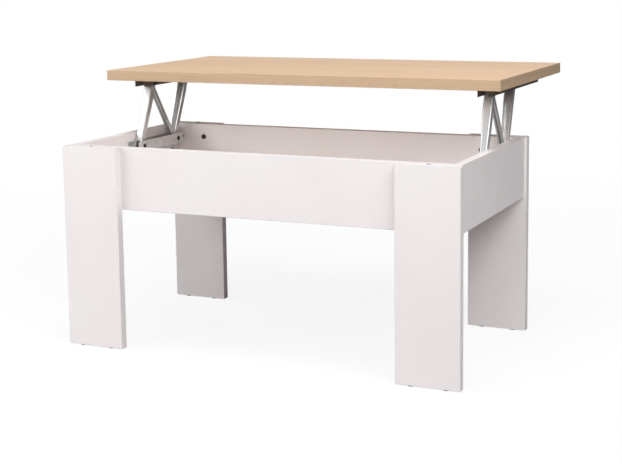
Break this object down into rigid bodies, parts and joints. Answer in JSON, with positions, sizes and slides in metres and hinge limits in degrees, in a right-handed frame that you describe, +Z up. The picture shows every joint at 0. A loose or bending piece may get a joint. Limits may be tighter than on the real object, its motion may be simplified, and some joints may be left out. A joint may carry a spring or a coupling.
{
  "type": "lift top coffee table",
  "caption": "Low table with a hollow white panel box on four flat legs and an oak board that rises and slides back on folding steel parallelogram arms.",
  "frame": {"origin": "on the floor, below the middle of the box and its four legs", "axes": "+X along the table's length, +Y towards the side that the raised board moves to, +Z up"},
  "size_m": [0.9, 0.6677, 0.568],
  "materials": {
    "white_panel": "white melamine-faced board with a fine satin texture",
    "hardboard": "white lacquered hardboard",
    "oak_board": "light oak decor board, satin, grain along the length",
    "oak_edge": "light oak decor edge banding",
    "beech": "fluted beech dowel",
    "zinc_steel": "bright zinc-plated sheet steel",
    "dark_steel": "dark lacquered sheet steel",
    "dark_fastener": "blackened steel screws and bolts",
    "white_plastic": "moulded white plastic",
    "grey_rubber": "soft grey pad",
    "dark_plastic": "moulded dark plastic"
  },
  "bodies": {
    "box": {"leg_front_left": "white_panel", "leg_front_right": "white_panel", "leg_rear_left": "white_panel", "leg_rear_right": "white_panel", "apron_front": "white_panel", "apron_rear": "white_panel", "side_panel_left": "white_panel", "side_panel_right": "white_panel", "bottom_board": "hardboard", "leg_glides": "dark_plastic", "leg_bolts": "dark_fastener", "corner_screws": "zinc_steel", "screw_caps": "white_plastic", "dowels": "beech", "bump_pads": "grey_rubber", "base_bracket_left": "zinc_steel", "base_bracket_right": "zinc_steel", "bracket_screws": "dark_fastener", "base_pins": "dark_fastener", "base_washers": "dark_plastic", "stop_studs": "zinc_steel"},
    "top": {"top_board": "oak_board", "edge_banding": "oak_edge", "top_rail_left": "dark_steel", "top_rail_right": "dark_steel", "rail_screws": "dark_fastener", "top_pins": "dark_fastener", "top_washers": "dark_plastic"},
    "arm_front_left": {"arm_front_left": "zinc_steel"},
    "arm_front_right": {"arm_front_right": "zinc_steel"},
    "arm_rear_left": {"arm_rear_left": "zinc_steel"},
    "arm_rear_right": {"arm_rear_right": "zinc_steel"},
    "strut_tube_left": {"strut_tube_left": "zinc_steel"},
    "strut_tube_right": {"strut_tube_right": "zinc_steel"},
    "strut_rod_left": {"strut_rod_left": "zinc_steel"},
    "strut_rod_right": {"strut_rod_right": "zinc_steel"}
  },
  "joints": [
    {"name": "lift", "type": "hinge", "parent": "box", "child": "arm_front_left", "pos_m": [-0.399, 0.01, 0.39583], "axis": [1, 0, 0], "range_deg": [0, 103.17]},
    {"name": "board_level", "type": "hinge", "parent": "arm_front_left", "child": "top", "pos_m": [-0.399, 0.06304, 0.534], "axis": [1, 0, 0], "range_deg": [-103.17, 0]},
    {"name": "arm_front_right_swing", "type": "hinge", "parent": "box", "child": "arm_front_right", "pos_m": [0.399, 0.01, 0.39583], "axis": [1, 0, 0], "range_deg": [0, 103.17]},
    {"name": "arm_rear_left_swing", "type": "hinge", "parent": "box", "child": "arm_rear_left", "pos_m": [-0.399, 0.158, 0.39583], "axis": [1, 0, 0], "range_deg": [0, 103.17]},
    {"name": "arm_rear_right_swing", "type": "hinge", "parent": "box", "child": "arm_rear_right", "pos_m": [0.399, 0.158, 0.39583], "axis": [1, 0, 0], "range_deg": [0, 103.17]},
    {"name": "strut_tube_left_swing", "type": "hinge", "parent": "box", "child": "strut_tube_left", "pos_m": [-0.399, 0.158, 0.39583], "axis": [1, 0, 0], "range_deg": [0, 51.58]},
    {"name": "strut_tube_right_swing", "type": "hinge", "parent": "box", "child": "strut_tube_right", "pos_m": [0.399, 0.158, 0.39583], "axis": [1, 0, 0], "range_deg": [0, 51.58]},
    {"name": "strut_rod_left_swing", "type": "hinge", "parent": "top", "child": "strut_rod_left", "pos_m": [-0.399, 0.06304, 0.534], "axis": [1, 0, 0], "range_deg": [0, 51.58]},
    {"name": "strut_rod_right_swing", "type": "hinge", "parent": "top", "child": "strut_rod_right", "pos_m": [0.399, 0.06304, 0.534], "axis": [1, 0, 0], "range_deg": [0, 51.58]}
  ],
  "couplings": [
    {"joint": "board_level", "follows": "lift", "ratio": -1},
    {"joint": "arm_front_right_swing", "follows": "lift", "ratio": 1},
    {"joint": "arm_rear_left_swing", "follows": "lift", "ratio": 1},
    {"joint": "arm_rear_right_swing", "follows": "lift", "ratio": 1},
    {"joint": "strut_tube_left_swing", "follows": "lift", "ratio": 0.5},
    {"joint": "strut_tube_right_swing", "follows": "lift", "ratio": 0.5},
    {"joint": "strut_rod_left_swing", "follows": "lift", "ratio": 0.5},
    {"joint": "strut_rod_right_swing", "follows": "lift", "ratio": 0.5}
  ]
}
